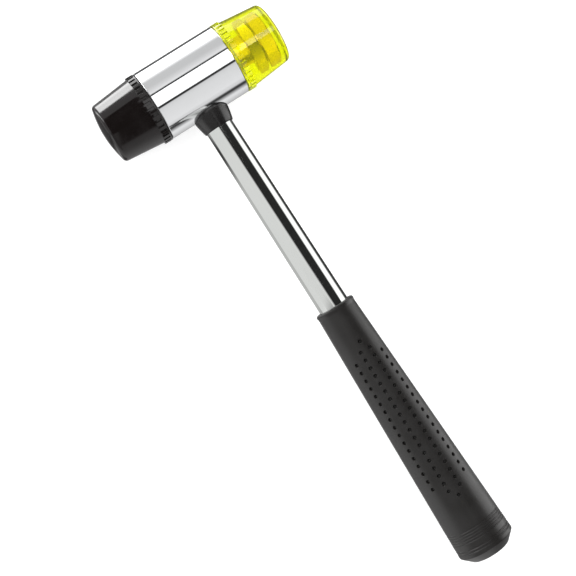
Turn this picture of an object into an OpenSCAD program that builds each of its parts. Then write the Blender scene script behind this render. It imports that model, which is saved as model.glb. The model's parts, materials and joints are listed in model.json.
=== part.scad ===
// Double-faced soft mallet: a chromed steel head with two screw-in plastic faces, on a chromed steel
// tube with a rubber grip. It lies on its side, on the base rings of both faces and the rim of the butt.
// +X runs along the handle to the butt, +Y along the head to the yellow face, +Z is up.
// The origin is under the middle of the mallet, on the surface that it lies on.

/* [Head] */
// Diameter of the head
head_d = 35; // [34:0.5:37]
// Length of the steel head between the seats of its two faces
head_l = 42.5; // [40:0.5:50]
// Size of the chamfer round each end of the head
head_chamfer = 0.5; // [0.3:0.1:0.8]
// Depth of the handle's blind hole beyond the axis of the head
tube_past_axis = 9; // [7:0.5:12]

/* [Faces] */
// Diameter of the ribbed base ring of a face
ring_d = 35.4; // [35:0.1:37]
// Height of the base ring
ring_h = 4; // [3:0.1:5]
// Height of the plain lip below the slots of the ring
ring_lip = 0.9; // [0.6:0.1:1.5]
// Number of slots round the ring
slot_count = 36; // [24:1:48]
// Width of one slot
slot_w = 1.4; // [0.8:0.1:1.8]
// Depth of one slot
slot_depth = 0.8; // [0.4:0.1:0.9]
// Diameter of the tapered body of a face where it leaves the ring
face_base_d = 33.8; // [32:0.1:34]
// Diameter of the tapered body at its striking rim
face_rim_d = 30.1; // [28:0.1:31]
// Height of the tapered body above the ring
face_taper_h = 18.6; // [16:0.1:22]
// Radius of the rounded striking rim
rim_r = 2.2; // [1:0.1:3]
// Height of the domed striking face above the rounded rim
dome_h = 1.6; // [1:0.1:3]

/* [Face bolts] */
// Diameter of a bolt's shank
bolt_d = 9.9; // [9.8:0.02:9.96]
// Diameter of the threaded bore through the head
bore_d = 10; // [10:0.1:10]
// Length of shank that screws into the head
bolt_reach = 10; // [8:0.5:10]
// Height of the bolt head's underside above the seat
bolt_head_z = 14.8; // [14.6:0.1:15.4]
// Thickness of the bolt head
bolt_head_h = 6.4; // [6:0.1:6.6]
// Distance across the flats of the bolt head and the nut
bolt_af = 16; // [15:0.5:17]
// Height of the nut's underside above the seat
nut_z = 8.4; // [7:0.1:8.6]
// Thickness of the nut
nut_h = 5.8; // [5:0.1:6]
// Outside diameter of a spring lock washer
washer_d = 17.4; // [16:0.1:18.1]
// Thickness of a spring lock washer
washer_h = 2.2; // [1.6:0.1:2.5]
// Width of the split in a lock washer
washer_split = 1.2; // [0.6:0.1:1.5]

/* [Lock screws] */
// Length of a lock screw's threaded body
lock_l = 4; // [3.5:0.1:4.2]
// Diameter of the plain point that enters the tube
point_d = 5.2; // [4.5:0.1:5.5]
// Length of that point
point_l = 1.8; // [1.2:0.1:2]
// Distance across the flats of the hexagon socket
socket_af = 5; // [4:0.5:5]
// Depth of the hexagon socket
socket_depth = 2.4; // [2:0.1:2.6]

/* [Collar] */
// Diameter of the collar where it meets the head
collar_top_d = 18; // [17:0.1:19]
// Diameter of the collar at its lower rim
collar_rim_d = 15.4; // [15:0.1:16]
// Distance from the axis of the head to the collar's lower rim
collar_end = 24.8; // [23:0.1:27]
// Diameter of the spigot that sits inside the head
spigot_d = 16; // [15.6:0.1:16.4]
// Distance from the axis of the head to the inner end of the spigot
spigot_start = 14; // [13:0.1:15]

/* [Handle tube] */
// Outside diameter of the tube in the head
tube_top_d = 13.7; // [13:0.1:14.2]
// Outside diameter of the tube in the grip
tube_grip_d = 15.1; // [14.6:0.1:15.6]
// Wall thickness of the tube
tube_wall = 1; // [0.8:0.1:1.5]
// Distance from the axis of the head to the start of the tube's taper
taper_start = 28; // [26:0.5:32]
// Distance from the axis of the head to the end of the tube
tube_end = 253; // [245:0.5:254]

/* [Grip] */
// Distance from the axis of the head to the mouth of the grip
grip_start = 124.4; // [115:0.1:130]
// Diameter of the lip at the mouth
lip_d = 20.1; // [19.5:0.1:21]
// Length of the lip
lip_l = 1.8; // [1.5:0.1:3]
// Diameter of the grip just below its lip
grip_top_d = 19.6; // [19:0.1:20]
// Diameter of the grip at its butt
grip_butt_d = 29; // [26:0.1:32]
// Distance from the axis of the head to the end of the butt
grip_end = 263; // [262:0.5:280]
// Size of the chamfer round the butt
butt_chamfer = 4.5; // [2:0.1:6]
// Number of fine grooves round the grip near its butt
groove_count = 5; // [3:1:6]

/* [Hidden] */
$fn = 96;

chrome_colour = [0.82, 0.83, 0.85];
zinc_colour = [0.7, 0.71, 0.7];
dark_steel_colour = [0.25, 0.25, 0.27];
black_colour = [0.05, 0.05, 0.055];
rubber_colour = [0.12, 0.12, 0.12];
yellow_colour = [0.88, 0.95, 0.05];

cut = 1;                                    // how far a cutting shape runs past what it cuts
seat_y = head_l / 2;                        // a seat's distance from the middle of the head
rest_z = ring_d / 2;                        // height of the head's axis above the surface
seat_gap = 0.1;                             // a lock washer holds the face this far off its seat
washer_bore_d = 10.2;
head_turn = 25;                             // which way the hexagon of the bolt's head is turned
nut_turn = 35;                              // which way the hexagon of the nut is turned
washer_clearance = 0.3;
tube_top_r = tube_top_d / 2;
tube_grip_r = tube_grip_d / 2;
point_hole_clearance = 0.1;
collar_edge_r = 0.8;                        // rounding of the collar's lower rim
lip_r = 1;                                  // rounding of the grip's lip
groove_pitch = 1.3;
groove_depth = 0.35;
groove_w = 0.6;
groove_from_end = 12;                       // from the end of the butt to the middle of the last groove
grip_floor = 1.5;                           // space between the tube's end and the bottom of the grip
plug_flange = 1.5;
plug_l = 10;
arc_steps = 8;

// The handle slopes down a little, until the edge where the butt's chamfer starts meets the surface.
butt_radius = grip_butt_d / 2;
rim_reach = grip_end - butt_chamfer;
lie_angle = asin(rest_z / norm([rim_reach, butt_radius])) - atan(butt_radius / rim_reach);
far_x = grip_end * cos(lie_angle) + (butt_radius - butt_chamfer) * sin(lie_angle);
head_x = (rest_z - far_x) / 2;              // the head's axis, with the mallet's middle at the origin

// Points of a quarter circle from angle a0 to angle a1 about [x, y].
function arc(x, y, r, a0, a1) = [
    for (i = [0:arc_steps]) let (a = a0 + (a1 - a0) * i / arc_steps) [x + r * cos(a), y + r * sin(a)]
];

// Radius of the grip's cone at distance h from the axis of the head.
function grip_radius(h) =
    let (along = (h - grip_start - lip_l) / (rim_reach - grip_start - lip_l))
    (grip_top_d + (grip_butt_d - grip_top_d) * along) / 2;

// The children's +Z runs from the axis of the head down the handle.
module on_handle() {
    translate([head_x, 0, rest_z]) rotate([0, 90 + lie_angle, 0]) children();
}

// The children's origin is the middle of the seat and their +Z points out of the head.
// side is -1 for the black face and 1 for the yellow face.
module on_seat(side) {
    translate([head_x, side * seat_y, rest_z]) rotate([-90 * side, 0, 0]) children();
}

module chamfered_cylinder(d, h, chamfer) {
    r = d / 2;
    rotate_extrude() polygon([
        [0, -h / 2], [r - chamfer, -h / 2], [r, -h / 2 + chamfer],
        [r, h / 2 - chamfer], [r - chamfer, h / 2], [0, h / 2]
    ]);
}

module head_body() {
    color(chrome_colour) difference() {
        on_seat(1) translate([0, 0, -seat_y]) chamfered_cylinder(head_d, head_l, head_chamfer);
        on_seat(1) translate([0, 0, -head_l - cut]) cylinder(d = bore_d, h = head_l + 2 * cut);
        on_handle() translate([0, 0, -tube_past_axis]) cylinder(d = tube_top_d, h = tube_past_axis + head_d);
        on_handle() translate([0, 0, spigot_start]) cylinder(d = spigot_d, h = head_d);
    }
}

// A tapered plastic collar whose upper end is cut to the curve of the head.
module collar() {
    rim = collar_rim_d / 2;
    color(black_colour) on_handle() difference() {
        union() {
            translate([0, 0, spigot_start]) cylinder(d = spigot_d, h = head_d / 2 - spigot_start);
            difference() {
                rotate_extrude() polygon(concat(
                    [[0, spigot_start + cut], [collar_top_d / 2, spigot_start + cut], [collar_top_d / 2, head_d / 2]],
                    arc(rim - collar_edge_r, collar_end - collar_edge_r, collar_edge_r, 0, 90),
                    [[0, collar_end]]
                ));
                rotate([90, 0, 0]) cylinder(d = head_d, h = 2 * head_d, center = true);
            }
        }
        cylinder(d = tube_top_d, h = 2 * head_d);
    }
}

// Steel tube: straight in the head, then a slow taper to its full size in the grip.
module handle_tube() {
    top = -tube_past_axis;
    color(chrome_colour) difference() {
        on_handle() rotate_extrude() polygon([
            [tube_top_r - tube_wall, top], [tube_top_r, top], [tube_top_r, taper_start],
            [tube_grip_r, grip_start], [tube_grip_r, tube_end], [tube_grip_r - tube_wall, tube_end],
            [tube_grip_r - tube_wall, grip_start], [tube_top_r - tube_wall, taper_start]
        ]);
        on_seat(1) translate([0, 0, -seat_y]) cylinder(d = point_d + point_hole_clearance, h = head_d, center = true);
    }
}

module tube_end_plug() {
    color(black_colour) on_handle() {
        translate([0, 0, tube_end]) cylinder(r = tube_grip_r, h = plug_flange);
        translate([0, 0, tube_end - plug_l]) cylinder(r = tube_grip_r - tube_wall, h = plug_l);
    }
}

module grip() {
    outer = lip_d / 2;
    neck = grip_start + lip_l;
    last_groove = grip_end - groove_from_end;
    color(rubber_colour) on_handle() difference() {
        rotate_extrude() polygon(concat(
            [[0, grip_start]],
            arc(outer - lip_r, grip_start + lip_r, lip_r, -90, 0),
            [[grip_top_d / 2, neck], [butt_radius, rim_reach], [butt_radius - butt_chamfer, grip_end], [0, grip_end]]
        ));
        translate([0, 0, grip_start - cut]) cylinder(r = tube_grip_r, h = tube_end + grip_floor - grip_start + cut);
        for (i = [0:groove_count - 1]) {
            h = last_groove - i * groove_pitch;
            r = grip_radius(h);
            rotate_extrude() polygon([
                [r - groove_depth, h], [r + groove_depth, h - groove_w], [r + groove_depth, h + groove_w]
            ]);
        }
    }
}

// Set screw with a hexagon socket. Its plain point enters a hole in the tube.
module lock_screw(side) {
    shoulder = seat_y - tube_top_r;         // depth of the screw's shoulder below the seat
    color(dark_steel_colour) on_seat(side) translate([0, 0, -shoulder]) {
        difference() {
            cylinder(d = bore_d, h = lock_l);
            translate([0, 0, lock_l - socket_depth]) cylinder(d = socket_af / cos(30), h = lock_l, $fn = 6);
        }
        translate([0, 0, -point_l]) cylinder(d = point_d, h = point_l);
    }
}

module hex_bolt_head() {
    translate([0, 0, bolt_head_z]) rotate([0, 0, head_turn]) cylinder(d = bolt_af / cos(30), h = bolt_head_h, $fn = 6);
}

module hex_nut() {
    translate([0, 0, nut_z]) rotate([0, 0, nut_turn]) cylinder(d = bolt_af / cos(30), h = nut_h, $fn = 6);
}

module face_bolt(side) {
    color(zinc_colour) on_seat(side) {
        translate([0, 0, -bolt_reach]) cylinder(d = bolt_d, h = bolt_reach + bolt_head_z);
        hex_bolt_head();
    }
}

module face_nut(side) {
    color(zinc_colour) on_seat(side) difference() {
        hex_nut();
        cylinder(d = bolt_d, h = bolt_head_z);
    }
}

// A plastic face moulded round the head and the nut of its bolt.
module face_cap() {
    ring_top = seat_gap + ring_h;
    rim_z = ring_top + face_taper_h;
    dome_edge = face_rim_d / 2 - rim_r;
    dome_base = rim_z + rim_r;
    dome_r = (dome_edge * dome_edge + dome_h * dome_h) / (2 * dome_h);
    dome_angle = asin(dome_edge / dome_r);
    difference() {
        rotate_extrude() polygon(concat(
            [[0, seat_gap], [ring_d / 2, seat_gap], [ring_d / 2, ring_top], [face_base_d / 2, ring_top]],
            arc(dome_edge, rim_z, rim_r, 0, 90),
            arc(0, dome_base + dome_h - dome_r, dome_r, 90 - dome_angle, 90)
        ));
        for (i = [0:slot_count - 1])
            rotate([0, 0, i * 360 / slot_count])
                translate([ring_d / 2 - slot_depth, -slot_w / 2, seat_gap + ring_lip])
                    cube([slot_depth + cut, slot_w, ring_h]);
        translate([0, 0, -cut]) cylinder(d = washer_d + 2 * washer_clearance, h = washer_h + seat_gap + cut);
        cylinder(d = bolt_d, h = bolt_head_z + cut);
        hex_bolt_head();
        hex_nut();
    }
}

module black_face() {
    color(black_colour) on_seat(-1) face_cap();
}

module yellow_face() {
    color(yellow_colour) on_seat(1) face_cap();
}

module lock_washer(side) {
    color(zinc_colour) on_seat(side) difference() {
        cylinder(d = washer_d, h = washer_h);
        translate([0, 0, -cut]) cylinder(d = washer_bore_d, h = washer_h + 2 * cut);
        translate([0, -washer_split / 2, -cut]) cube([washer_d, washer_split, washer_h + 2 * cut]);
    }
}

head_body();
collar();
handle_tube();
tube_end_plug();
grip();
lock_screw(-1);  // lock_screw_black_side
lock_screw(1);  // lock_screw_yellow_side
black_face();
face_bolt(-1);  // black_face_bolt
face_nut(-1);  // black_face_nut
lock_washer(-1);  // black_lock_washer
yellow_face();
face_bolt(1);  // yellow_face_bolt
face_nut(1);  // yellow_face_nut
lock_washer(1);  // yellow_lock_washer
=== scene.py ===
"""Looks of a double-faced soft mallet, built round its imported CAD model. Metres, in the CAD frame."""

import json
import math

import bmesh
import bpy
from mathutils import Matrix, Vector


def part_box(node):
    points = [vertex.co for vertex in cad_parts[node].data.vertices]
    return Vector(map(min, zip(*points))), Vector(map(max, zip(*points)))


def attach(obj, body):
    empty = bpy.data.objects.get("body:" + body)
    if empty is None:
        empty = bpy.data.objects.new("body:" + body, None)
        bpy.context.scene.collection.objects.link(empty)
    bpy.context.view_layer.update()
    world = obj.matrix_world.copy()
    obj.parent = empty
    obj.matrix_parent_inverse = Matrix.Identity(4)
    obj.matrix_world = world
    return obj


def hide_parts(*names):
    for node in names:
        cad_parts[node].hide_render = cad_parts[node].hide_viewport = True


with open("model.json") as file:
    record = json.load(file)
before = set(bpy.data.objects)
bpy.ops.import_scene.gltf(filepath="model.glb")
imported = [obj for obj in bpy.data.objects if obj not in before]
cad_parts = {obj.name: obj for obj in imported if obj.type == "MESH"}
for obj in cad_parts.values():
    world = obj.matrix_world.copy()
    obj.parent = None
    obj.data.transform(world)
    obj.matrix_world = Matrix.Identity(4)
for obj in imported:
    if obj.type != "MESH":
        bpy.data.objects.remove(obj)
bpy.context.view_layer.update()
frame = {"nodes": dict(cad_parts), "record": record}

MM = 0.001
BLACK, YELLOW = -1, 1                   # the two ends of the head, along Y
BODY_OF = {node: body for body, nodes in frame["record"]["behaviour"]["bodies"].items() for node in nodes}


# Places and sizes that come from the CAD model

def columns(x, y, z, at):
    """A frame whose axes point along x, y and z, with its origin at a point."""
    place = Matrix((x, y, z)).transposed().to_4x4()
    place.translation = at
    return place


def seat_place(side):
    """+Z points out of the head from the middle of a seat."""
    at = Vector((HEAD_MIDDLE.x, side * SEAT_Y, HEAD_MIDDLE.z))
    return columns((1, 0, 0), (0, 0, -side), (0, side, 0), at)


def extent(node, place):
    """Where a CAD node starts and ends along a place's +Z, and its largest radius about it."""
    inverse = place.inverted()
    points = [inverse @ v.co for v in frame["nodes"][node].data.vertices]
    heights = [p.z for p in points]
    return min(heights), max(heights), max(math.hypot(p.x, p.y) for p in points)


head_low, head_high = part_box("head_body")
HEAD_MIDDLE = (head_low + head_high) / 2
HEAD_R = (head_high.x - head_low.x) / 2
SEAT_Y = head_high.y
ALONG = Vector(next(m for m in frame["record"]["mounts"] if m["name"] == "tube_clip")["axis"]).normalized()
HANDLE = columns(Vector((0, 1, 0)).cross(ALONG), (0, 1, 0), ALONG, HEAD_MIDDLE)
SEATS = {side: seat_place(side) for side in (BLACK, YELLOW)}

COLLAR_START, COLLAR_END, COLLAR_R = extent("collar", HANDLE)
TUBE_START, TUBE_END, TUBE_GRIP_R = extent("handle_tube", HANDLE)
GRIP_START, GRIP_END, BUTT_R = extent("grip", HANDLE)
FACE_START, FACE_END, RING_R = extent("yellow_face", SEATS[YELLOW])
BOLT_START, BOLT_END = extent("yellow_face_bolt", SEATS[YELLOW])[:2]
NUT_START, NUT_END = extent("yellow_face_nut", SEATS[YELLOW])[:2]
WASHER_START, WASHER_END, WASHER_R = extent("yellow_lock_washer", SEATS[YELLOW])

TUBE_TOP_R = 6.85 * MM
TUBE_WALL = 1 * MM
TAPER_START = 28 * MM
SPIGOT_R = 8 * MM
COLLAR_RIM_R = 7.7 * MM
GRIP_TOP_R = 9.8 * MM
LIP_R = 10.05 * MM
LIP_L = 1.8 * MM
BAND_FROM_END = 17.2 * MM               # the band of fine grooves starts this far from the end of the butt
BAND_GROOVES = 5
BAND_PITCH = 1.3 * MM
LAST_GROOVES_FROM_END = (8.4 * MM, 6.9 * MM)
BUTT_CHAMFER = 4.5 * MM
BUTT_EDGE = 0.9 * MM
DIMPLE_START = 144.2 * MM               # the first dimple's distance from the axis of the head
DIMPLE_PITCH = 4.25 * MM
DIMPLE_ROWS = 20
DIMPLE_ANGLES = (13.8, 41.6)            # degrees from the middle of the upper or lower side
RING_H = 4 * MM
RING_LIP = 0.9 * MM
SLOTS = 36
SLOT_W = 1.4 * MM
FACE_BASE_R = 16.9 * MM
FACE_RIM_R = 15.05 * MM
FACE_TAPER_H = 18.6 * MM
RIM_EDGE = 2.2 * MM
BORE_R = 5 * MM
BOLT_R = 4.95 * MM
THREAD_PITCH = 1.25 * MM
THREAD_DEPTH = 0.5 * MM
THREAD_END = 1.5 * MM                   # the thread runs out this far above the seat
BOLT_HEAD_Z = 14.8 * MM
BOLT_FLATS = 16 * MM
HEX_CHAMFER_R = 0.48 * BOLT_FLATS
HEX_CHAMFER_ANGLE = 28
HEAD_TURN, NUT_TURN = 25, 35            # how far the hexagons are turned, in degrees
WASHER_BORE_R = 5.1 * MM
WASHER_SPLIT = 1.2 * MM


# Mesh building

def arc(x, y, radius, start, end, steps=8):
    """Points of an arc about (x, y) from one angle to another, in degrees."""
    turns = [math.radians(start + (end - start) * i / steps) for i in range(steps + 1)]
    return [(x + radius * math.cos(a), y + radius * math.sin(a)) for a in turns]


def even(count):
    return [2 * math.pi * i / count for i in range(count)]


def turned(angles, profile, ring=False, closed=True):
    """A surface round +Z. profile(i) gives the outline at angles[i] as (radius, height) points.
    ring joins an outline's last point to its first, and closed joins the last angle to the first."""
    mesh = bmesh.new()
    grid = []
    for i, a in enumerate(angles):
        grid.append([mesh.verts.new((r * math.cos(a), r * math.sin(a), z)) for r, z in profile(i)])
    count = len(grid[0])
    for i in range(len(grid) if closed else len(grid) - 1):
        here, after = grid[i], grid[(i + 1) % len(grid)]
        for j in range(count if ring else count - 1):
            k = (j + 1) % count
            mesh.faces.new((here[j], after[j], after[k], here[k]))
    bmesh.ops.remove_doubles(mesh, verts=mesh.verts, dist=1e-7)
    bmesh.ops.dissolve_degenerate(mesh, edges=mesh.edges, dist=1e-7)
    bmesh.ops.recalc_face_normals(mesh, faces=mesh.faces)
    return mesh


def lathe(outline, segments, ring=False):
    """A surface of revolution."""
    return turned(even(segments), lambda i: outline, ring)


def mesh_data(name, mesh, place):
    data = bpy.data.meshes.new(name)
    mesh.to_mesh(data)
    mesh.free()
    data.transform(place)
    return data


def smooth(data, sharp_angle):
    for polygon in data.polygons:
        polygon.use_smooth = True
    data.set_sharp_from_angle(angle=math.radians(sharp_angle))


def add_object(name, data):
    made = bpy.data.objects.new(name, data)
    bpy.context.scene.collection.objects.link(made)
    return made


def cut(target, cutter):
    """Takes the cutter's space out of the target's mesh and removes the cutter."""
    boolean = target.modifiers.new("cut", "BOOLEAN")
    boolean.operation = "DIFFERENCE"
    boolean.solver = "EXACT"
    boolean.object = cutter
    evaluated = target.evaluated_get(bpy.context.evaluated_depsgraph_get())
    result = bpy.data.meshes.new_from_object(evaluated)
    target.modifiers.clear()
    target.data = result
    bpy.data.objects.remove(cutter)


def true_normals(data, place, is_on, normal_of):
    """Gives corners that lie on an exact round surface that surface's own normals."""
    inverse = place.inverted()
    turn = place.to_3x3()
    normals = [Vector(corner.vector) for corner in data.corner_normals]
    for polygon in data.polygons:
        facing = inverse.to_3x3() @ polygon.normal
        for index in polygon.loop_indices:
            point = inverse @ data.vertices[data.loops[index].vertex_index].co
            if is_on(point) and facing.dot(normal_of(point)) > 0.98:
                normals[index] = (turn @ normal_of(point)).normalized()
    data.normals_split_custom_set(normals)


def bevel(piece, width):
    edge = piece.modifiers.new("edges", "BEVEL")
    edge.width = width
    edge.segments = 2
    edge.limit_method = "ANGLE"
    edge.angle_limit = math.radians(35)
    edge.harden_normals = True


def finish_piece(piece, node, material, sharp_angle=30):
    """Puts a piece on its CAD node's body, in that node's place. A sharp angle of 0 keeps its own normals."""
    if sharp_angle:
        smooth(piece.data, sharp_angle)
    piece.data.materials.clear()
    piece.data.materials.append(material)
    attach(piece, BODY_OF[node])
    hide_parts(node)


def radial(point):
    return Vector((point.x, point.y, 0)).normalized()


# Materials

class Shader:
    """A material's node tree with short calls for the nodes that the materials share."""

    def __init__(self, name, **sockets):
        self.material = bpy.data.materials.new(name)
        self.material.use_nodes = True
        self.nodes = self.material.node_tree.nodes
        self.links = self.material.node_tree.links
        self.surface = self.nodes["Principled BSDF"]
        for socket, value in sockets.items():
            self.surface.inputs[socket.replace("_", " ")].default_value = value
        coordinates = self.nodes.new("ShaderNodeTexCoord")
        self.place = coordinates.outputs["Object"]

    def add(self, kind, inputs=(), **settings):
        node = self.nodes.new(kind)
        for key, value in settings.items():
            setattr(node, key, value)
        for socket, value in dict(inputs).items():
            if isinstance(value, bpy.types.NodeSocket):
                self.links.new(value, node.inputs[socket])
            else:
                node.inputs[socket].default_value = value
        return node.outputs[0]

    def stretched(self, scale):
        """The object's coordinates, scaled by a different number along each axis."""
        return self.add("ShaderNodeMapping", {"Vector": self.place, "Scale": scale})

    def noise(self, scale, detail=2.0, roughness=0.5, vector=None):
        inputs = {"Vector": vector or self.place, "Scale": scale, "Detail": detail, "Roughness": roughness}
        return self.add("ShaderNodeTexNoise", inputs)

    def spread(self, value, low, high, start=0.0, end=1.0):
        """Maps value from low..high to start..end, clamped."""
        inputs = {"Value": value, "From Min": low, "From Max": high, "To Min": start, "To Max": end}
        return self.add("ShaderNodeMapRange", inputs)

    def colours(self, factor, first, second):
        node = self.nodes.new("ShaderNodeMix")
        node.data_type = "RGBA"
        self.links.new(factor, node.inputs["Factor"])
        node.inputs["A"].default_value = (*first, 1)
        node.inputs["B"].default_value = (*second, 1)
        return node.outputs["Result"]

    def bump(self, height, distance, strength=1.0, normal=None):
        inputs = {"Height": height, "Distance": distance, "Strength": strength}
        if normal:
            inputs["Normal"] = normal
        return self.add("ShaderNodeBump", inputs)

    def set(self, **links):
        for socket, value in links.items():
            self.links.new(value, self.surface.inputs[socket.replace("_", " ")])
        return self.material


def chrome(name, grain, clean, dull):
    """Polished plate with faint polishing marks along the grain, smudges and a slow waviness."""
    s = Shader(name, Metallic=1.0)
    marks = s.noise(1.0, 3.0, 0.6, s.stretched(grain))
    smudge = s.noise(55.0, 4.0, 0.6)
    wave = s.noise(38.0, 1.0, 0.4)
    rough = s.add("ShaderNodeMath", {0: s.spread(smudge, 0.35, 0.75, 0.03, 0.085),
                                    1: s.spread(marks, 0.5, 0.9, 0.0, 0.05)}, operation="ADD")
    slow = s.bump(wave, 0.06 * MM, 0.5)
    return s.set(
        Base_Color=s.colours(smudge, clean, dull),
        Roughness=rough,
        Normal=s.bump(marks, 0.001 * MM, 0.3, slow),
    )


def gloss_black():
    """Hard glossy plastic with a faint moulding ripple and a few dull rubs."""
    s = Shader("gloss_black", Specular_IOR_Level=0.5)
    ripple = s.noise(260.0, 2.0)
    rub = s.noise(90.0, 5.0, 0.65)
    return s.set(
        Base_Color=s.colours(s.spread(rub, 0.45, 0.8), (0.0055, 0.0042, 0.004), (0.009, 0.007, 0.007)),
        Roughness=s.spread(rub, 0.45, 0.8, 0.09, 0.24),
        Normal=s.bump(ripple, 0.02 * MM, 0.25),
    )


def clear_yellow():
    """Clear fluorescent plastic: its colour deepens with the thickness of plastic behind it."""
    s = Shader("clear_yellow", Transmission_Weight=0.86, IOR=1.49, Metallic=0.0)
    cloud = s.noise(140.0, 3.0, 0.5)
    ripple = s.noise(210.0, 2.0)
    s.set(
        Base_Color=s.colours(s.spread(cloud, 0.35, 0.7), (0.94, 1.0, 0.05), (0.92, 1.0, 0.03)),
        Roughness=s.spread(cloud, 0.3, 0.8, 0.01, 0.06),
        Normal=s.bump(ripple, 0.03 * MM, 0.25),
    )
    tint = s.nodes.new("ShaderNodeVolumeAbsorption")
    tint.inputs["Color"].default_value = (0.996, 0.995, 0.2, 1)
    tint.inputs["Density"].default_value = 350.0
    s.links.new(tint.outputs[0], s.nodes["Material Output"].inputs["Volume"])
    return s.material


def moulded_black(name, base, rough, grain_scale):
    """Satin black plastic with a fine moulded grain."""
    s = Shader(name, Specular_IOR_Level=0.5)
    grain = s.noise(grain_scale, 2.0)
    wear = s.noise(120.0, 4.0, 0.6)
    return s.set(
        Base_Color=s.colours(wear, base, tuple(2.0 * c for c in base)),
        Roughness=s.spread(wear, 0.35, 0.75, rough, rough + 0.12),
        Normal=s.bump(grain, 0.02 * MM, 0.4),
    )


def rubber():
    """Matt black rubber: fine pebble grain, a grey bloom and slightly polished high spots."""
    s = Shader("grip_rubber", Specular_IOR_Level=0.5, Sheen_Weight=0.12, Sheen_Roughness=0.4)
    grain = s.noise(3200.0, 3.0, 0.6)
    bloom = s.noise(70.0, 5.0, 0.6)
    return s.set(
        Base_Color=s.colours(s.spread(bloom, 0.35, 0.75), (0.0095, 0.0085, 0.0078), (0.015, 0.014, 0.0135)),
        Roughness=s.spread(bloom, 0.3, 0.75, 0.32, 0.44),
        Normal=s.bump(grain, 0.03 * MM, 0.45),
    )


def steel(name, base, rough):
    """Plated or blackened steel with turning marks and darker stains."""
    s = Shader(name, Metallic=1.0)
    stain = s.noise(400.0, 4.0, 0.6)
    marks = s.noise(1.0, 2.0, 0.5, s.stretched((900, 5000, 900)))
    return s.set(
        Base_Color=s.colours(stain, base, tuple(0.7 * c for c in base)),
        Roughness=s.spread(stain, 0.3, 0.8, rough, rough + 0.2),
        Normal=s.bump(marks, 0.01 * MM, 0.4),
    )


ACROSS_HEAD = (4000, 60, 4000)          # polishing marks run along the head
ALONG_HANDLE = (60, 4000, 4000)
CHROME_HEAD = chrome("head_chrome", ACROSS_HEAD, (0.90, 0.91, 0.92), (0.86, 0.865, 0.875))
CHROME_TUBE = chrome("tube_chrome", ALONG_HANDLE, (0.91, 0.93, 0.905), (0.87, 0.89, 0.865))
GLOSS_BLACK = gloss_black()
CLEAR_YELLOW = clear_yellow()
COLLAR_PLASTIC = moulded_black("collar_plastic", (0.006, 0.0055, 0.0055), 0.2, 1500.0)
PLUG_PLASTIC = moulded_black("plug_plastic", (0.02, 0.02, 0.02), 0.45, 2500.0)
RUBBER = rubber()
BOLT_STEEL = steel("bolt_steel", (1.0, 0.72, 0.3), 0.2)
NUT_STEEL = steel("nut_steel", (0.9, 0.68, 0.3), 0.22)
WASHER_STEEL = steel("washer_steel", (0.45, 0.45, 0.46), 0.3)
SCREW_STEEL = steel("screw_steel", (0.09, 0.09, 0.095), 0.4)


# Pieces

def make_head():
    """The chromed cylinder with rounded ends, its through bore, and the blind hole for the handle."""
    edge = 0.5 * MM
    mouth = 0.6 * MM
    corner = SEAT_Y - edge
    rim = HEAD_R - edge
    outline = (
        [(BORE_R, mouth - SEAT_Y), (BORE_R + mouth, -SEAT_Y)]
        + arc(rim, -corner, edge, -90, 0)
        + arc(rim, corner, edge, 0, 90)
        + [(BORE_R + mouth, SEAT_Y), (BORE_R, SEAT_Y - mouth)]
    )
    middle = seat_place(YELLOW)
    middle.translation = HEAD_MIDDLE
    head = add_object("chrome_head", mesh_data("chrome_head", lathe(outline, 256, ring=True), middle))
    reach = 2 * HEAD_R
    hole = [(0, TUBE_START), (TUBE_TOP_R, TUBE_START), (TUBE_TOP_R, COLLAR_START), (SPIGOT_R, COLLAR_START),
            (SPIGOT_R, reach), (0, reach)]
    cut(head, add_object("hole", mesh_data("hole", lathe(hole, 96), HANDLE)))
    smooth(head.data, 30)
    true_normals(head.data, middle, lambda p: abs(math.hypot(p.x, p.y) - HEAD_R) < 1e-6, radial)
    finish_piece(head, "head_body", CHROME_HEAD, sharp_angle=0)


def make_collar():
    """The plastic collar: its top edge follows the curve of the head, its sides are slightly full."""
    angles = even(128)
    inset = 0.05 * MM
    inner = TUBE_TOP_R + inset
    edge = 0.8 * MM
    fillet = 0.35 * MM
    side_steps = 8
    fullness = 0.09 * MM

    def saddle(radius, angle):
        return math.sqrt(HEAD_R ** 2 - (radius * math.cos(angle)) ** 2)

    def profile(i):
        top = saddle(COLLAR_R, angles[i]) + 0.02 * MM
        low = COLLAR_END - edge
        side = []
        for k in range(side_steps + 1):
            share = k / side_steps
            bulge = fullness * math.sin(math.pi * share)
            radius = COLLAR_R + (COLLAR_RIM_R - COLLAR_R) * share - inset + bulge
            side.append((radius, top + fillet + (low - top - fillet) * share))
        return (
            [(inner, COLLAR_START), (SPIGOT_R, COLLAR_START), (SPIGOT_R, saddle(SPIGOT_R, angles[i])),
             (COLLAR_R - fillet - inset, top), (COLLAR_R - 0.3 * fillet - inset, top + 0.25 * fillet)]
            + side
            + arc(COLLAR_RIM_R - inset - edge, low, edge, 8, 90)
            + [(inner, COLLAR_END)]
        )

    data = mesh_data("plastic_collar", turned(angles, profile, ring=True), HANDLE)
    finish_piece(add_object("plastic_collar", data), "collar", COLLAR_PLASTIC, 40)


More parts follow.
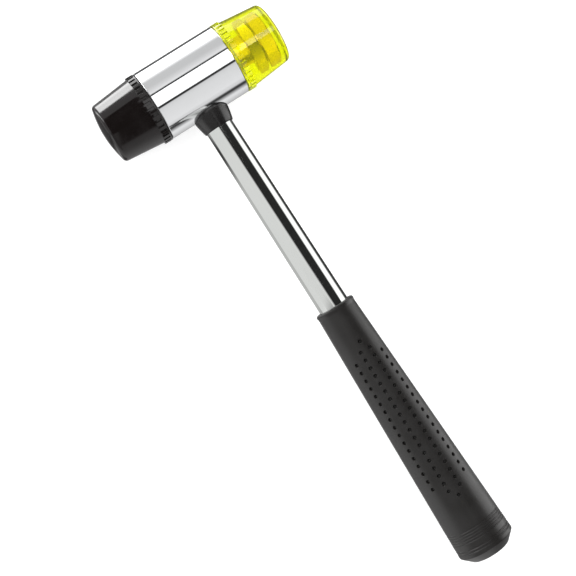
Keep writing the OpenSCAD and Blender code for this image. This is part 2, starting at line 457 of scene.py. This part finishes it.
def make_tube():
    """The chromed tube, straight in the head and tapered down to the grip."""
    outline = [
        (TUBE_TOP_R - TUBE_WALL, TUBE_START), (TUBE_TOP_R, TUBE_START), (TUBE_TOP_R, TAPER_START),
        (TUBE_GRIP_R, GRIP_START), (TUBE_GRIP_R, TUBE_END), (TUBE_GRIP_R - TUBE_WALL, TUBE_END),
        (TUBE_GRIP_R - TUBE_WALL, GRIP_START), (TUBE_TOP_R - TUBE_WALL, TAPER_START),
    ]
    data = mesh_data("chrome_tube", lathe(outline, 192, ring=True), HANDLE)
    finish_piece(add_object("chrome_tube", data), "handle_tube", CHROME_TUBE)


def grip_cone(height):
    """Radius of the grip's cone at a distance from the head."""
    start = GRIP_START + LIP_L
    share = (height - start) / (GRIP_END - BUTT_CHAMFER - start)
    return GRIP_TOP_R + (BUTT_R - GRIP_TOP_R) * share


def groove(height, depth, half_width):
    """Outline points of one shallow round-bottomed groove in the grip's cone."""
    shape = [(-1, 0), (-0.7, 0.25), (-0.35, 0.85), (0, 1), (0.35, 0.85), (0.7, 0.25), (1, 0)]
    return [(grip_cone(height + x * half_width) - y * depth, height + x * half_width) for x, y in shape]


def grip_outline():
    """The grip's outline from the floor of its hole, out round the lip, and down to the chamfered butt."""
    edge = 1 * MM
    mouth = GRIP_START + edge
    bore = TUBE_GRIP_R + 0.04 * MM
    points = [(bore, GRIP_START + 0.4 * MM), (bore + 0.4 * MM, GRIP_START)]
    points += arc(LIP_R - edge, mouth, edge, -90, 0)
    points += [(LIP_R, mouth + 0.5 * MM), (GRIP_TOP_R + 0.05 * MM, GRIP_START + 1.9 * MM)]
    smooth_start = GRIP_START + 3 * MM
    band = GRIP_END - BAND_FROM_END
    steps = 14
    for i in range(steps + 1):
        height = smooth_start + (band - 1.5 * MM - smooth_start) * i / steps
        points.append((grip_cone(height), height))
    for i in range(BAND_GROOVES):
        points += groove(band + BAND_PITCH * i, 0.22 * MM, 0.5 * MM)
    for from_end in LAST_GROOVES_FROM_END:
        points += groove(GRIP_END - from_end, 0.3 * MM, 0.6 * MM)
    ease = BUTT_EDGE * math.tan(math.pi / 8)
    points += arc(BUTT_R - BUTT_EDGE, GRIP_END - BUTT_CHAMFER - ease, BUTT_EDGE, 2, 45, 6)
    points += arc(BUTT_R - BUTT_CHAMFER - ease, GRIP_END - BUTT_EDGE, BUTT_EDGE, 45, 90, 6)
    end = [(8.5 * MM, GRIP_END), (8.1 * MM, GRIP_END - 0.35 * MM), (0, GRIP_END - 0.35 * MM)]
    floor = TUBE_END + 1.5 * MM
    return [(0, floor), (bore, floor)] + points + end


def dimple_mesh():
    """The space of one dimple: a small tapered pit with an eased rim. +Z points out of the rubber."""
    pit = [(0, -1.8), (0.5, -1.75), (0.84, -1.5), (0.96, -0.15)]
    rim = [(1.02, -0.04), (1.2, 0.1), (1.2, 0.5), (0, 0.5)]
    return lathe([(r * MM, z * MM) for r, z in pit + rim], 20)


def dimple_spots():
    """(angle from the side's middle in degrees, distance from the head) of one side's dimples."""
    inner = DIMPLE_ANGLES[0]
    spots = [(0, DIMPLE_START)]
    for row in range(1, DIMPLE_ROWS):
        height = DIMPLE_START + row * DIMPLE_PITCH + 0.5 * MM
        for angle in DIMPLE_ANGLES:
            inside_arrow = angle == inner or 1 < row < DIMPLE_ROWS - 1
            if inside_arrow:
                spots += [(side * angle, height) for side in (-1, 1)]
    return spots + [(0, DIMPLE_START + DIMPLE_ROWS * DIMPLE_PITCH)]


def make_grip():
    """The rubber grip, with its dimples cut into the upper and lower sides."""
    data = mesh_data("rubber_grip", lathe(grip_outline(), 160), HANDLE)
    grip = add_object("rubber_grip", data)
    one = bpy.data.meshes.new("dimple")
    pit = dimple_mesh()
    pit.to_mesh(one)
    pit.free()
    pits = bmesh.new()
    lean = math.atan2(BUTT_R - GRIP_TOP_R, GRIP_END - GRIP_START)
    for side in (0, math.pi):
        for angle, height in dimple_spots():
            turn = Matrix.Rotation(side + math.radians(angle), 4, "Z")
            out = Matrix.Translation((grip_cone(height), 0, height))
            tilt = Matrix.Rotation(math.pi / 2 + lean, 4, "Y")
            spot = one.copy()
            spot.transform(HANDLE @ turn @ (out @ tilt))
            pits.from_mesh(spot)
            bpy.data.meshes.remove(spot)
    cut(grip, add_object("pits", mesh_data("pits", pits, Matrix.Identity(4))))
    smooth(grip.data, 35)

    def on_cone(point):
        return abs(math.hypot(point.x, point.y) - grip_cone(point.z)) < 0.02 * MM

    def cone_normal(point):
        return (radial(point) - Vector((0, 0, math.tan(lean)))).normalized()

    true_normals(grip.data, HANDLE, on_cone, cone_normal)
    finish_piece(grip, "grip", RUBBER, sharp_angle=0)


def face_columns():
    """Angles round a face, each with whether its column runs through a slot of the ring."""
    period = 2 * math.pi / SLOTS
    slot = SLOT_W / RING_R
    found = []
    for i in range(SLOTS):
        start = i * period - slot / 2
        found += [(start + slot * k / 3, True) for k in range(4)]
        found += [(start + slot + (period - slot) * k / 4, False) for k in range(5)]
    return found


def make_face(name, node, side, material):
    """A moulded face: ribbed base ring, tapered body, rounded rim and domed striking end."""
    found = face_columns()
    low, top = FACE_START, FACE_START + RING_H
    lip = low + RING_LIP
    recess = WASHER_R + 0.3 * MM
    recess_floor = WASHER_END + 0.1 * MM
    rim = top + FACE_TAPER_H
    dome_edge = FACE_RIM_R - RIM_EDGE
    dome_h = FACE_END - rim - RIM_EDGE
    dome_r = (dome_edge ** 2 + dome_h ** 2) / (2 * dome_h)
    dome_angle = math.degrees(math.asin(dome_edge / dome_r))
    base = [(0, recess_floor), (recess, recess_floor), (recess, low), (RING_R - 0.2 * MM, low),
            (RING_R, low + 0.2 * MM), (RING_R, lip)]
    rib = [(RING_R, lip), (RING_R, top), (FACE_BASE_R, top)]
    slot = [(FACE_BASE_R, lip), (FACE_BASE_R, (lip + top) / 2), (FACE_BASE_R, top)]
    body = [(FACE_BASE_R + (FACE_RIM_R - FACE_BASE_R) * k / 6, top + FACE_TAPER_H * k / 6)
            for k in range(1, 6)]
    end = (arc(dome_edge, rim, RIM_EDGE, 5, 90 - dome_angle, 10)
           + arc(0, FACE_END - dome_r, dome_r, 90 - dome_angle, 90, 10)[1:])
    columns_of = {True: base + slot + body + end, False: base + rib + body + end}
    mesh = turned([a for a, _ in found], lambda i: columns_of[found[i][1]])
    piece = add_object(name, mesh_data(name, mesh, SEATS[side]))
    finish_piece(piece, node, material)
    bevel(piece, 0.12 * MM)


def hexagon(flats, turn):
    """Angles and outline radii of a hexagon, with its corners placed exactly."""
    steps = 8
    count = 6 * steps
    angles = [math.radians(turn) + a for a in even(count)]
    radii = [flats / 2 / math.cos(2 * math.pi * (i % steps) / count - math.pi / 6) for i in range(count)]
    return angles, radii


def hex_drop(corner):
    """How far a hexagon's chamfer has come down at a distance from the axis."""
    return (corner - HEX_CHAMFER_R) * math.tan(math.radians(HEX_CHAMFER_ANGLE))


def thread_radius(height, angle, end):
    """A rolled thread with eased roots and crests that runs out before its end."""
    phase = (height / THREAD_PITCH - angle / (2 * math.pi)) % 1
    crest = min(1, max(0, 1.6 * (1 - abs(2 * phase - 1)) - 0.3))
    run_out = min(1, max(0, (end - height) / MM))
    return BOLT_R - THREAD_DEPTH * (1 - crest) * run_out


def make_bolt(name, node, side):
    """The hexagon bolt that a face is moulded round, with a rolled thread."""
    angles, corners = hexagon(BOLT_FLATS, HEAD_TURN)
    start = BOLT_START + 0.8 * MM
    rows = int((BOLT_HEAD_Z - start) / THREAD_PITCH * 10)

    def profile(i):
        angle, corner = angles[i], corners[i]
        drop = hex_drop(corner)
        points = [(0, BOLT_START), (BOLT_R - 1.1 * THREAD_DEPTH - 0.4 * MM, BOLT_START)]
        for k in range(rows + 1):
            height = start + (BOLT_HEAD_Z - start) * k / rows
            ease = min(1, (height - start) / (0.6 * MM))
            radius = thread_radius(height, angle, THREAD_END)
            points.append((radius - (1 - ease) * max(0, radius - BOLT_R + THREAD_DEPTH), height))
        return points + [
            (corner - 0.2 * MM, BOLT_HEAD_Z), (corner, BOLT_HEAD_Z + 0.2 * MM), (corner, BOLT_END - drop),
            (HEX_CHAMFER_R, BOLT_END), (0, BOLT_END),
        ]

    data = mesh_data(name, turned(angles, profile), SEATS[side])
    finish_piece(add_object(name, data), node, BOLT_STEEL, 35)


def make_nut(name, node, side):
    """The nut that a face is moulded round, chamfered on both sides."""
    angles, corners = hexagon(BOLT_FLATS, NUT_TURN)
    bore = BOLT_R + 0.02 * MM
    mouth = BOLT_R + 0.5 * MM
    countersink = 0.3 * MM

    def profile(i):
        corner = corners[i]
        drop = hex_drop(corner)
        return [
            (bore, NUT_START + countersink), (mouth, NUT_START), (HEX_CHAMFER_R, NUT_START),
            (corner, NUT_START + drop), (corner, NUT_END - drop), (HEX_CHAMFER_R, NUT_END),
            (mouth, NUT_END), (bore, NUT_END - countersink),
        ]

    data = mesh_data(name, turned(angles, profile, ring=True), SEATS[side])
    finish_piece(add_object(name, data), node, NUT_STEEL, 35)


def make_washer(name, node, side):
    """A split spring washer of rounded square section."""
    gap = WASHER_SPLIT / WASHER_R
    steps = 72
    angles = [gap / 2 + (2 * math.pi - gap) * i / (steps - 1) for i in range(steps)]
    inner, outer = WASHER_BORE_R, WASHER_R
    ease = 0.2 * MM
    low, high = WASHER_START, WASHER_END
    outline = [
        (inner, low + ease), (inner + ease, low), (outer - ease, low), (outer, low + ease),
        (outer, high - ease), (outer - ease, high), (inner + ease, high), (inner, high - ease),
    ]
    mesh = turned(angles, lambda i: outline, ring=True, closed=False)
    bmesh.ops.holes_fill(mesh, edges=mesh.edges, sides=len(outline))
    bmesh.ops.recalc_face_normals(mesh, faces=mesh.faces)
    finish_piece(add_object(name, mesh_data(name, mesh, SEATS[side])), node, WASHER_STEEL, 50)


make_head()
make_collar()
make_tube()
make_grip()
make_face("black_striking_face", "black_face", BLACK, GLOSS_BLACK)
make_face("yellow_striking_face", "yellow_face", YELLOW, CLEAR_YELLOW)
make_bolt("black_bolt", "black_face_bolt", BLACK)
make_bolt("yellow_bolt", "yellow_face_bolt", YELLOW)
make_nut("black_nut", "black_face_nut", BLACK)
make_nut("yellow_nut", "yellow_face_nut", YELLOW)
make_washer("black_spring_washer", "black_lock_washer", BLACK)
make_washer("yellow_spring_washer", "yellow_lock_washer", YELLOW)

for node, material in (("lock_screw_black_side", SCREW_STEEL), ("lock_screw_yellow_side", SCREW_STEEL),
                       ("tube_end_plug", PLUG_PLASTIC)):
    carried = frame["nodes"][node]
    carried.data.materials.clear()
    carried.data.materials.append(material)


# Studio: a pale floor, soft light, and cards that only reflections see

def glow(name, strength):
    material = bpy.data.materials.new(name)
    material.use_nodes = True
    nodes = material.node_tree.nodes
    nodes.clear()
    emission = nodes.new("ShaderNodeEmission")
    emission.inputs["Color"].default_value = (1, 1, 1, 1)
    emission.inputs["Strength"].default_value = strength
    output = nodes.new("ShaderNodeOutputMaterial")
    material.node_tree.links.new(emission.outputs[0], output.inputs["Surface"])
    return material


def flat_rectangle(name, low, high, z):
    data = bpy.data.meshes.new(name)
    corners = [(low[0], low[1], z), (high[0], low[1], z), (high[0], high[1], z), (low[0], high[1], z)]
    data.from_pydata(corners, [], [(0, 1, 2, 3)])
    return add_object(name, data)


def card(name, low, high, z, level):
    """A level card that is seen only in reflections."""
    sheet = flat_rectangle(name, low, high, z)
    sheet.data.materials.append(glow(name, level))
    sheet.visible_camera = False
    sheet.visible_diffuse = False
    sheet.visible_transmission = False
    sheet.visible_shadow = False


def make_floor():
    floor = flat_rectangle("floor", (-4, -4), (4, 4), -0.00005)
    material = bpy.data.materials.new("floor")
    material.use_nodes = True
    surface = material.node_tree.nodes["Principled BSDF"]
    surface.inputs["Base Color"].default_value = (0.6, 0.6, 0.6, 1)
    surface.inputs["Roughness"].default_value = 0.9
    surface.inputs["Emission Color"].default_value = (1, 1, 1, 1)
    surface.inputs["Emission Strength"].default_value = 0.62
    floor.data.materials.append(material)
    floor.visible_glossy = False
    floor.visible_transmission = False


# What reflections see: (degrees round from straight up, positive towards the handle, and brightness)
OVER_HEAD = (
    (-134, 0.12), (-125, 4.5), (-88, 4.5), (-81, 1.2), (-71, 0.63), (-50, 0.62), (-38, 0.74),
    (-31, 0.84), (-27.5, 0.9), (-25.5, 0.03), (-19.5, 0.03), (-18, 1.5), (15.5, 1.5), (17, 0.03),
    (22.5, 0.03), (24.5, 0.7), (38, 0.78), (62, 0.82), (78, 0.85), (83, 0.77), (92, 0.71),
    (97, 0.12), (99, 0.05), (104.5, 0.05), (112, 0.37), (118, 0.66), (123, 0.83), (130, 0.82),
    (152, 0.6), (165, 0.5),
)
OVER_BLACK_FACE = (
    (-128, 0.5), (-122, 7.5), (-104, 9.0), (-84, 14.0), (-79, 0.8), (-29, 0.75), (-22, 0.01),
    (64, 0.01), (72, 0.5), (95, 0.6), (110, 0.75), (130, 0.75), (145, 0.5),
)
BRIGHTEST = 16.0                        # a colour ramp holds 0 to 1, so its levels are shares of this
SEEN_THROUGH_DARK = (57, 131)           # degrees of the dark part that clear plastic shows


def make_world():
    """White all round for the camera and for soft light.
    Reflections see a studio tent, set by direction alone: pale walls, and dark and bright parts.
    Light through clear plastic sees white, with a dark part on the side towards the handle."""
    world = bpy.data.worlds.new("studio")
    bpy.context.scene.world = world
    world.use_nodes = True
    nodes, links = world.node_tree.nodes, world.node_tree.links
    nodes.clear()

    def calculate(operation, first, second=0.0):
        node = nodes.new("ShaderNodeMath")
        node.operation = operation
        for index, value in enumerate((first, second)):
            if isinstance(value, bpy.types.NodeSocket):
                links.new(value, node.inputs[index])
            else:
                node.inputs[index].default_value = value
        return node.outputs[0]

    def rise(value, middle, blur):
        """A mask that goes from 0 to 1 as the value passes the middle."""
        node = nodes.new("ShaderNodeMapRange")
        node.interpolation_type = "SMOOTHSTEP"
        links.new(value, node.inputs["Value"])
        node.inputs["From Min"].default_value = middle - blur
        node.inputs["From Max"].default_value = middle + blur
        return node.outputs[0]

    def between(value, low, high, blur):
        """A mask that is 1 from low to high."""
        return calculate("SUBTRACT", rise(value, low, blur), rise(value, high, blur))

    def all_of(*masks):
        result = masks[0]
        for mask in masks[1:]:
            result = calculate("MULTIPLY", result, mask)
        return result

    def layered(under, over, mask):
        """The level over, laid on the level under where the mask is 1."""
        mix = nodes.new("ShaderNodeMix")
        mix.data_type = "FLOAT"
        for socket, value in (("Factor", mask), ("A", under), ("B", over)):
            if isinstance(value, bpy.types.NodeSocket):
                links.new(value, mix.inputs[socket])
            else:
                mix.inputs[socket].default_value = value
        return mix.outputs["Result"]

    def ring(turn, levels):
        """Levels by how far round a direction is. A turn of 0.5 is straight up."""
        ramp = nodes.new("ShaderNodeValToRGB")
        links.new(turn, ramp.inputs[0])
        stops = ramp.color_ramp.elements
        stops[0].position, stops[1].position = 0, 1
        for degrees, level in levels:
            share = level / BRIGHTEST
            stops.new(degrees / 360 + 0.5).color = (share, share, share, 1)
        stops[0].color = stops[1].color
        stops[len(stops) - 1].color = stops[len(stops) - 2].color
        return calculate("MULTIPLY", ramp.outputs["Color"], BRIGHTEST)

    direction = nodes.new("ShaderNodeTexCoord").outputs["Generated"]
    split = nodes.new("ShaderNodeSeparateXYZ")
    links.new(direction, split.inputs[0])
    x, y, z = split.outputs
    minus_x, minus_y, below = (calculate("MULTIPLY", axis, -1) for axis in (x, y, z))
    turn = calculate("ADD", calculate("DIVIDE", calculate("ARCTAN2", x, z), 2 * math.pi), 0.5)
    up = rise(z, 0.0, 0.15)
    middle = between(x, -0.10, 0.10, 0.015)

    # Towards the yellow face the tent is dark, with a bright part on the side away from the handle
    tent = layered(0.72, 0.13, rise(below, 0.74, 0.04))
    dark_side = rise(y, 0.162, 0.01)
    tent = layered(tent, 0.02, dark_side)
    left_wall = all_of(between(turn, 0.5 - 130 / 360, 0.5 - 70 / 360, 0.012), dark_side)
    tent = layered(tent, 2.0, left_wall)

    # Bands that the black face and the head show
    tent = layered(tent, ring(turn, OVER_BLACK_FACE), between(y, -0.17, 0.045, 0.012))
    tent = layered(tent, ring(turn, OVER_HEAD), between(y, 0.045, 0.162, 0.008))

    # Bands that the tube shows: pale turning dark, then white
    beside = calculate("SUBTRACT", y, calculate("MULTIPLY", x, 1.1))
    pale_to_dark = layered(0.73, 0.02, rise(beside, -0.075, 0.11))
    tent = layered(tent, pale_to_dark, all_of(middle, between(y, -0.3, 0.3, 0.05), up))
    tent = layered(tent, 1.15, rise(y, 0.87, 0.04))

    # A window for the rim of the black face, and a dark low part towards the yellow one
    rim_window = all_of(rise(minus_x, 0.6, 0.1), between(y, -0.72, -0.56, 0.02))
    tent = layered(tent, 6.0, rim_window)
    tent = layered(tent, 0.16, all_of(rise(y, 0.2, 0.04), rise(below, 0.32, 0.08)))

    # The tube's edges: one dark all along, the other dark near the head and grey below it
    tent = layered(tent, 0.04, all_of(middle, rise(y, 0.2, 0.04), rise(below, 0.3, 0.2)))
    left_edge = layered(0.03, 0.5, between(x, -0.066, 0.066, 0.02))
    tent = layered(tent, left_edge, all_of(middle, rise(below, 0.42, 0.06), rise(minus_y, 0.2, 0.05)))

    # What the grip shows: darker from the left and above, brighter at its two edges
    over_grip = rise(x, 0.07, 0.008)
    tent = layered(tent, 0.3, all_of(over_grip, rise(minus_y, 0.19, 0.03), up))
    tent = layered(tent, 1.3, all_of(over_grip, rise(minus_y, 0.92, 0.03)))
    tent = layered(tent, 2.5, all_of(over_grip, rise(y, 0.86, 0.03)))

    def background(value):
        shader = nodes.new("ShaderNodeBackground")
        if isinstance(value, bpy.types.NodeSocket):
            links.new(value, shader.inputs["Color"])
        else:
            shader.inputs["Color"].default_value = (value, value, value, 1)
        return shader.outputs[0]

    def chosen(when, otherwise, value):
        mix = nodes.new("ShaderNodeMixShader")
        links.new(when, mix.inputs[0])
        links.new(otherwise, mix.inputs[1])
        links.new(background(value), mix.inputs[2])
        return mix.outputs[0]

    rays = nodes.new("ShaderNodeLightPath").outputs
    seen = chosen(rays["Is Glossy Ray"], background(1.0), tent)
    dark_from, dark_to = (0.5 + degrees / 360 for degrees in SEEN_THROUGH_DARK)
    before_end = calculate("SUBTRACT", 1.0, rise(turn, dark_to, 0.012))
    dark_part = all_of(rise(turn, dark_from, 0.02), before_end)
    through = layered(layered(0.98, 1.15, up), 0.1, dark_part)
    seen = chosen(rays["Is Transmission Ray"], seen, through)
    output = nodes.new("ShaderNodeOutputWorld")
    links.new(seen, output.inputs["Surface"])


def make_lights():
    """Two large soft boxes above the mallet."""
    for name, at, size, power in (("key", (-0.5, -0.2, 0.9), 0.8, 5), ("fill", (0.4, 0.7, 0.6), 0.8, 3)):
        light = bpy.data.lights.new(name, "AREA")
        light.size = size
        light.energy = power
        box = bpy.data.objects.new(name, light)
        bpy.context.scene.collection.objects.link(box)
        box.location = at
        box.rotation_euler = (-Vector(at)).to_track_quat("-Z", "Y").to_euler()
        box.visible_glossy = False


def make_cards():
    """Bright strips just over the head and the yellow face, and a dark flag over the black face."""
    x, z = HEAD_MIDDLE.x, HEAD_MIDDLE.z + 60 * MM
    face_y = SEAT_Y + FACE_END
    card("strip_head", (x - 18.5 * MM, -SEAT_Y - 6 * MM), (x + 13 * MM, SEAT_Y + 10 * MM), z, 1.5)
    card("strip_yellow", (x - 11 * MM, SEAT_Y + 18 * MM), (x + 6 * MM, face_y + 25 * MM), z, 3.2)
    card("flag_black", (x - 45 * MM, -face_y - 20 * MM), (x + 14 * MM, -SEAT_Y - 8 * MM), z - 10 * MM, 0.01)


def make_camera():
    """Looks down on the mallet from the side of the black face, as in a product picture."""
    lens_mm, sensor_mm = 84.4, 36
    at = Vector((-0.0340, -0.0736, 0.6498))
    target = Vector((-0.0172, -0.0138, 0.0170))
    picture_up = Vector((-0.8405, 0.5411, 0.0289))
    camera = bpy.data.cameras.new("camera")
    camera.lens = lens_mm
    camera.sensor_width = sensor_mm
    camera.clip_start, camera.clip_end = 0.01, 20
    holder = bpy.data.objects.new("camera", camera)
    bpy.context.scene.collection.objects.link(holder)
    back = (at - target).normalized()
    right = picture_up.cross(back).normalized()
    holder.matrix_world = columns(right, back.cross(right), back, at)
    bpy.context.scene.camera = holder


make_floor()
make_world()
make_lights()
make_cards()
make_camera()
bpy.context.scene.view_settings.view_transform = "Standard"
